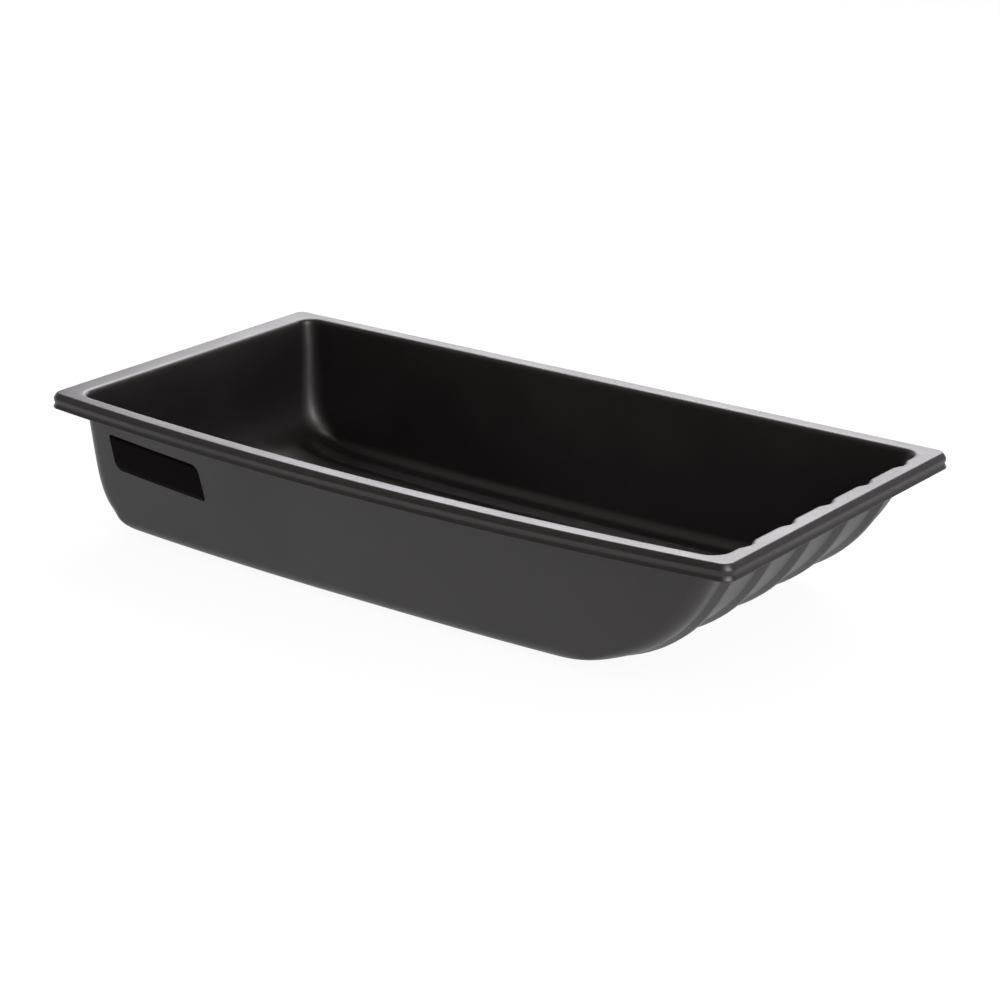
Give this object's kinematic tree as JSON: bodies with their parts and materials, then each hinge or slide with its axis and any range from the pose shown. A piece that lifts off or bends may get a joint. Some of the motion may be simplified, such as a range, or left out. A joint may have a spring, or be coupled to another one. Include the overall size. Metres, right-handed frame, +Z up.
{
  "type": "ice fishing sled",
  "caption": "Deep moulded plastic tub sled with an upswept nose, runner ribs pressed into the floor, a flanged rim with a turned-down lip, and a blank label on one side.",
  "frame": {"origin": "middle of the length and width, on the ground under the runner soles", "axes": "+X towards the upswept nose, +Y towards the plain long side, +Z up out of the tub"},
  "size_m": [1.372, 0.7008, 0.252],
  "materials": {
    "tub_plastic": "satin black polyethylene with a fine grain",
    "label_film": "smooth dark film"
  },
  "bodies": {
    "root": {"tub_shell": "tub_plastic", "side_label": "label_film"}
  },
  "joints": []
}
